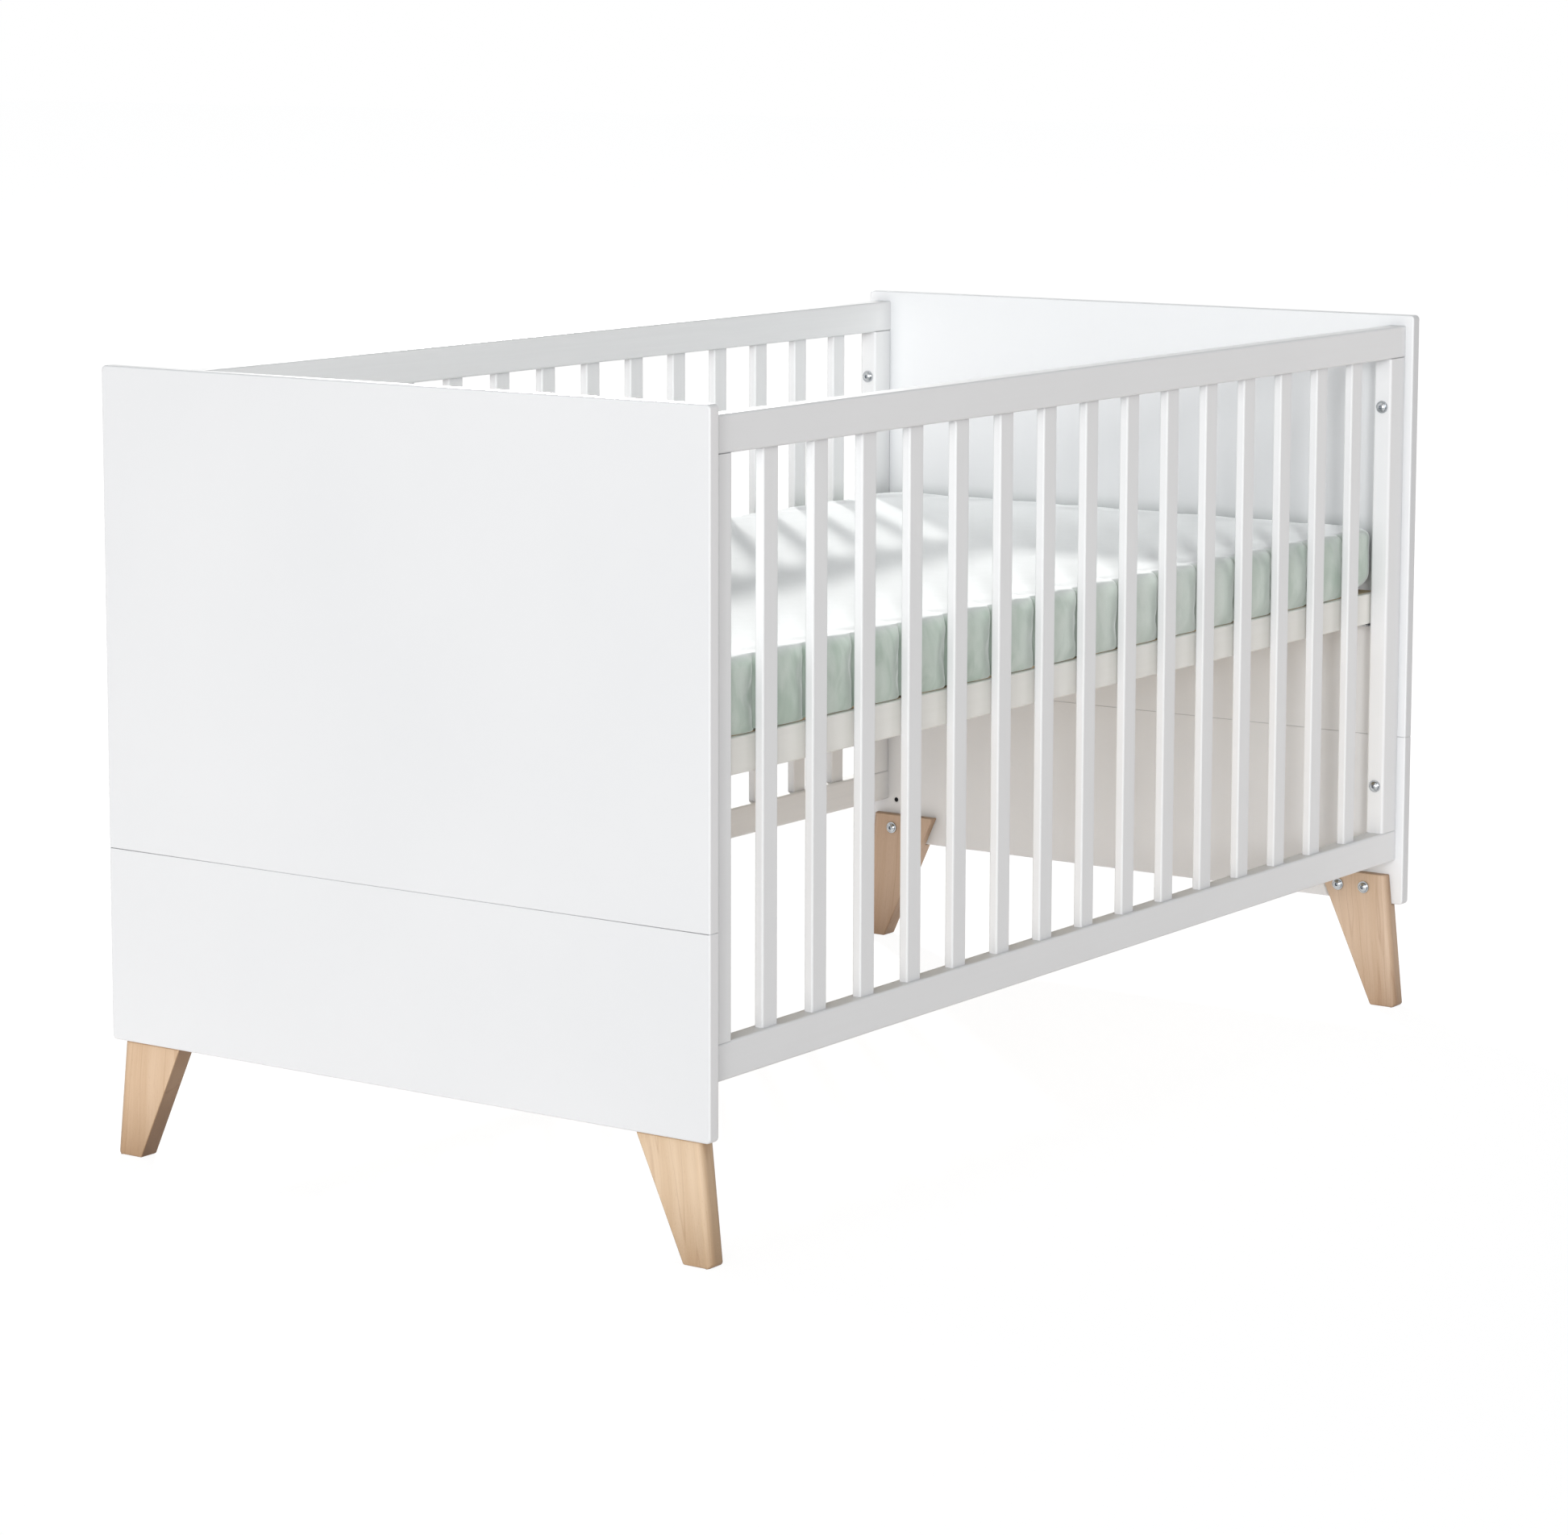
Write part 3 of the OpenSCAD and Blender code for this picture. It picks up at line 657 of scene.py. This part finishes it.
def side_stations(half, seams):
    """Places along one straight side from -half to half, closing in on each seam, and each place's
    distance to its nearest seam."""
    places = set()
    for k, seam in enumerate(seams):
        for step in SEAM_STEPS:
            places.update(round(seam + s * step, 5) for s in (-1, 1))
        if k:
            places.add(round((seams[k - 1] + seam) / 2, 5))
    for a, b in ((seams[-1] + SEAM_STEPS[-1], half), (-half, seams[0] - SEAM_STEPS[-1])):
        count = max(2, round((b - a) / PLAIN_STEP))
        places.update(round(a + (b - a) * i / count, 5) for i in range(count + 1))
    return [(p, min(abs(p - s) for s in seams)) for p in sorted(p for p in places if abs(p) <= half + WELD)]


def outline(half_x, half_y, seams_x, seams_y):
    """Points round the mattress: place on the inner rectangle, outward normal, distance to a seam and
    distance along the side to a corner."""
    inner_x, inner_y = half_x - CORNER, half_y - CORNER
    along = side_stations(inner_x, seams_x)
    across = side_stations(inner_y, seams_y)
    turn = [math.radians(90 * i / CORNER_STEPS) for i in range(1, CORNER_STEPS)]
    points = [(p, -inner_y, 0, -1, d, inner_x - abs(p)) for p, d in along]
    points += [(inner_x, -inner_y, math.sin(a), -math.cos(a), CORNER, 0) for a in turn]
    points += [(inner_x, p, 1, 0, d, inner_y - abs(p)) for p, d in across]
    points += [(inner_x, inner_y, math.cos(a), math.sin(a), CORNER, 0) for a in turn]
    points += [(p, inner_y, 0, 1, d, inner_x - abs(p)) for p, d in along[::-1]]
    points += [(-inner_x, inner_y, -math.sin(a), math.cos(a), CORNER, 0) for a in turn]
    points += [(-inner_x, p, -1, 0, d, inner_y - abs(p)) for p, d in across[::-1]]
    points += [(-inner_x, -inner_y, -math.cos(a), -math.sin(a), CORNER, 0) for a in turn]
    return np.array(points, float), len(along)


def profile(bottom, top, deepest):
    """Rings from the middle of the top to the middle of the underside: inset, height, how much of the
    border it is and how much of the top."""
    quarter = [math.radians(90 / EDGE_STEPS * k) for k in range(EDGE_STEPS + 1)]
    rings = [(inset, top, 0.0, 1.0) for inset in (deepest, *TOP_INSETS)]
    rings += [(TOP_ROUND * (1 - math.sin(a)), top - TOP_ROUND * (1 - math.cos(a)), math.sin(a),
               1 - math.sin(a)) for a in quarter]
    span = top - TOP_ROUND - bottom - BOTTOM_ROUND
    rings += [(0.0, top - TOP_ROUND - span * k / BORDER_STEPS, 1.0, 0.0) for k in range(1, BORDER_STEPS)]
    rings += [(BOTTOM_ROUND * (1 - math.cos(a)), bottom + BOTTOM_ROUND * (1 - math.sin(a)), math.cos(a),
               0.0) for a in quarter]
    rings += [(inset, bottom, 0.0, 0.0) for inset in (*UNDER_INSETS, deepest)]
    return rings


def falloff(distance, width):
    """1 at a distance of 0, fading to 0 over the width."""
    return np.exp(-(distance / width) ** 2)


def cover_faces(ring_count, count, front):
    """Faces between rings of count points, and caps over the strips in the middle of the top and underside.
    The first points of a ring, front in number, run along the front."""
    faces = []
    for r in range(ring_count - 1):
        for i in range(count):
            j = (i + 1) % count
            faces.append((r * count + i, r * count + j, (r + 1) * count + j, (r + 1) * count + i))
    rear = count // 2
    for base, flip in ((0, False), ((ring_count - 1) * count, True)):
        ring = [base + i for i in range(count)]
        caps = [[ring[i], ring[i + 1], ring[rear + front - 2 - i], ring[rear + front - 1 - i]]
                for i in range(front - 1)]
        caps.append(ring[front - 1:rear + 1])
        caps.append(ring[rear + front - 1:] + ring[:1])
        faces += [tuple(c if flip else c[::-1]) for c in caps]
    return [f[::-1] for f in faces]


def sewn_cover(lo, hi, seams_x, seams_y):
    """Mesh of the cover before it is filled, with each vertex's share of pinch (the weight of the painted
    shade beside the seams), of top and of being held.
    """
    half_x, half_y = hi[0] - FILL, hi[1] - FILL
    deepest = half_y - SPINE
    bottom = lo[2] + BOTTOM_ROOM
    middle, half_z = (lo[2] + hi[2]) / 2, (hi[2] - lo[2]) / 2
    points, front = outline(half_x, half_y, seams_x, seams_y)
    from_x, from_y, out_x, out_y, to_seam, to_corner = points.T
    corner = falloff(to_corner, CORNER_FADE)
    near = falloff(to_seam, PINCH_WIDTH)
    # painted shade beside each seam, narrow at the pinch and wider around it
    shade = (1 - SHADE_SHARE) * near + SHADE_SHARE * falloff(to_seam, SHADE_WIDTH)
    rings = profile(bottom, hi[2] - TOP_ROOM, deepest)
    verts, pinch, top, held = [], [], [], []
    for inset, z, border, upper in rings:
        radius = CORNER + (INNER_CORNER - CORNER) * min(inset / deepest, 1.0)
        reach = max(border, falloff(inset, PINCH_OVER) if z > middle else 0.0)
        low = max(0.0, CORNER_ROUND + bottom - z)
        cut = corner * (CORNER_ROUND - math.sqrt(CORNER_ROUND ** 2 - low ** 2))
        inward = np.hypot(inset, cut)
        outward = radius - PINCH * near * reach
        x = from_x / (half_x - CORNER) * (half_x - inward - radius) + out_x * outward
        y = from_y / (half_y - CORNER) * (half_y - inward - radius) + out_y * outward
        draw = (TOP_DIP if z > middle else BOTTOM_LIFT) * falloff(to_seam, DRAW_WIDTH)
        height = z - draw * (falloff(inset, EDGE_FADE) * ((z - middle) / half_z) ** 3)
        verts.append(np.stack([x, y, height], -1))
        pinch.append(shade * reach)
        top.append(np.full_like(x, upper))
        at_seam = (to_seam < SEWN) & (border > SEWN_BORDER)
        firm = next((share for limit, share in HELD if inset > limit), 0.0)
        lies = z < lo[2] + LYING[0] and inset > LYING[1]
        held.append(np.maximum(at_seam * 1.0, 1.0 if lies else firm))
    faces = cover_faces(len(rings), len(points), front)
    return np.concatenate(verts), faces, np.concatenate(pinch), np.concatenate(top), np.concatenate(held)


def fill_cover(obj, held):
    """Lets the sewn cover fill out by pressure and returns its vertices."""
    scene = bpy.context.scene
    group = obj.vertex_groups.new(name="sewn")
    rounded = held.round(2)
    for level in np.unique(rounded):
        if level > 0:
            group.add([int(i) for i in np.nonzero(rounded == level)[0]], float(level), "REPLACE")
    cloth = obj.modifiers.new("cover", "CLOTH")
    settings = cloth.settings
    settings.quality = 6
    settings.mass = 0.15
    settings.tension_stiffness = 12.0
    settings.compression_stiffness = 12.0
    settings.shear_stiffness = 6.0
    settings.bending_stiffness = 0.4
    settings.use_pressure = True
    settings.uniform_pressure_force = PRESSURE
    settings.effector_weights.gravity = 0.0
    settings.vertex_group_mass = "sewn"
    settings.pin_stiffness = 1.0
    settings.shrink_min = -0.03
    cloth.point_cache.frame_start = 1
    cloth.point_cache.frame_end = FILL_FRAMES
    for step in range(1, FILL_FRAMES + 1):
        scene.frame_set(step)
        bpy.context.view_layer.update()
    shown = obj.evaluated_get(bpy.context.evaluated_depsgraph_get())
    out = np.empty(len(obj.data.vertices) * 3)
    shown.data.vertices.foreach_get("co", out)
    obj.modifiers.remove(cloth)
    obj.vertex_groups.remove(group)
    scene.frame_set(1)
    return out.reshape(-1, 3)


def fold_height(point):
    """Slanting soft folds of the cover, from -1 to 1, at a point. The numbers are folds in a metre."""
    x, y, z = point
    return noise.noise(Vector((x * 26 + z * 22, y * 12, z * 34 - x * 11)))


def settle(rest, full, lo, hi, top, folds_over):
    """The filled cover kept within bounds, with its top crowned and soft folds in its border."""
    moved = full - rest
    length = np.linalg.norm(moved, axis=1, keepdims=True)
    full = rest + moved * SWELL * np.tanh(length / SWELL) / np.maximum(length, 1e-9)
    height = (rest[:, 2] - lo[2]) / (hi[2] - lo[2])
    rise = np.clip(height / STEADY, 0.0, 1.0) ** 2 * (1 - FLAT_TOP * np.clip(2 * height - 1, 0.0, 1.0))
    full[:, 2] = rest[:, 2] + (full[:, 2] - rest[:, 2]) * rise
    crown = (1 - (rest[:, 0] / hi[0]) ** 2) * (1 - (rest[:, 1] / hi[1]) ** 2)
    full[:, 2] += CROWN * crown * top
    folds = np.array([fold_height(point) for point in full]) * FOLD * folds_over
    full[:, 1] += np.sign(full[:, 1]) * folds * (np.abs(full[:, 1]) > LONG_SIDE)
    for axis, proud in enumerate(PROUD):
        full[:, axis] = np.clip(full[:, axis], lo[axis] - proud, hi[axis] + proud)
    full[:, 2] = np.maximum(full[:, 2], lo[2] + FILLED_ROOM)
    return full


def make_mattress():
    """The mattress as one sewn cover, filled by a cloth simulation, in place of its two CAD nodes."""
    lo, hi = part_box("mattress_cover")
    pitch = SEAM_STRETCH * (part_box("front_slat_02")[0][0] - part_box("front_slat_01")[0][0])
    seams_x = [SEAM_SHIFT + pitch * k for k in range(-SEAMS_LONG, SEAMS_LONG + 1)]
    seams_y = [pitch * k for k in range(-SEAMS_SHORT, SEAMS_SHORT + 1)]
    rest, faces, pinch, top, held = sewn_cover(lo, hi, seams_x, seams_y)
    mesh = bpy.data.meshes.new("mattress")
    mesh.from_pydata(rest.tolist(), [], faces)
    mesh.validate()
    obj = bpy.data.objects.new("mattress", mesh)
    bpy.context.collection.objects.link(obj)
    side = np.maximum(np.abs(rest[:, 0]) / hi[0], np.abs(rest[:, 1]) / hi[1]) > SIDE
    lobes = side * (1 - pinch)
    full = fill_cover(obj, held)
    full = settle(rest, full, lo, hi, top, lobes)
    mesh.vertices.foreach_set("co", full.ravel())
    # pinch carries the painted shade beside the seams, top the paler top with its painted sheen
    for name, values in (("pinch", pinch), ("top", top)):
        layer = mesh.attributes.new(name, "FLOAT", "POINT")
        layer.data.foreach_set("value", values.astype(np.float32))
    mesh.polygons.foreach_set("use_smooth", [True] * len(mesh.polygons))
    mesh.materials.append(velvet())
    finer = obj.modifiers.new("finer", "SUBSURF")
    finer.levels = 1
    finer.render_levels = 1
    mesh.update()
    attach(obj, "mattress")
    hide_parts("mattress_cover", "mattress_core")


make_camera()
make_world()
make_floor()
make_lights()
finish_nodes()
make_mattress()

bpy.context.scene.view_settings.view_transform = "Standard"
